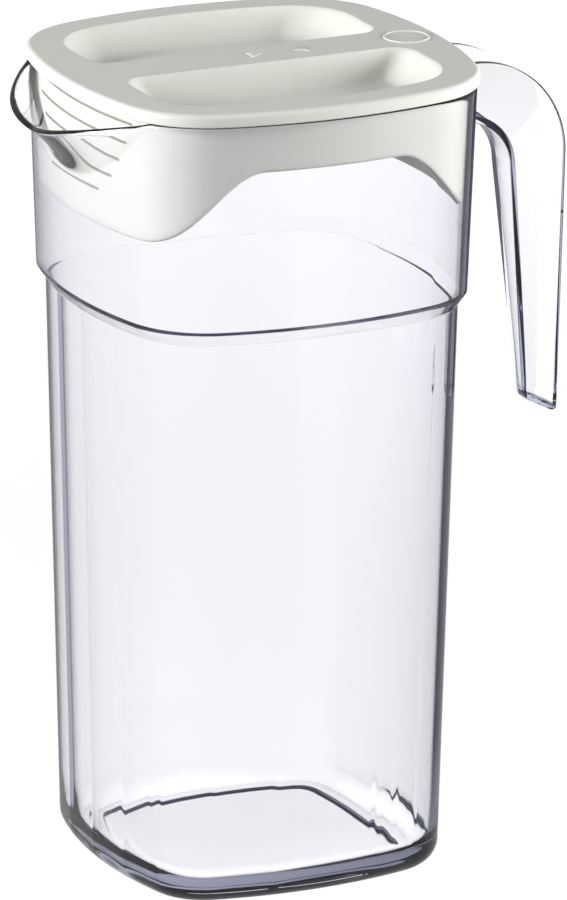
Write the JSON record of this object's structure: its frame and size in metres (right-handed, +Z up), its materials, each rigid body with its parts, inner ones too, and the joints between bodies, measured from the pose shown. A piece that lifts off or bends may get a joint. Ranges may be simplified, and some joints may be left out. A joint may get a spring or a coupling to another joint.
{
  "type": "plastic pitcher",
  "caption": "Clear square pitcher with a drooping wide spout, an open-ended handle and a lift-off opaque lid whose deep slotted skirt strains the pour.",
  "frame": {"origin": "centre of the flat base, on the surface it stands on", "axes": "+Z up, +X towards the handle, -X towards the spout"},
  "size_m": [0.1735, 0.1242, 0.2504],
  "materials": {
    "clear_plastic": "clear, polished",
    "lid_plastic": "satin moulded"
  },
  "bodies": {
    "jug": {"jug": "clear_plastic"},
    "lid": {"lid": "lid_plastic"}
  },
  "joints": [
    {"name": "lid_lift", "type": "slide", "parent": "jug", "child": "lid", "axis": [0, 0, 1], "range_m": [0, 0.06]}
  ]
}
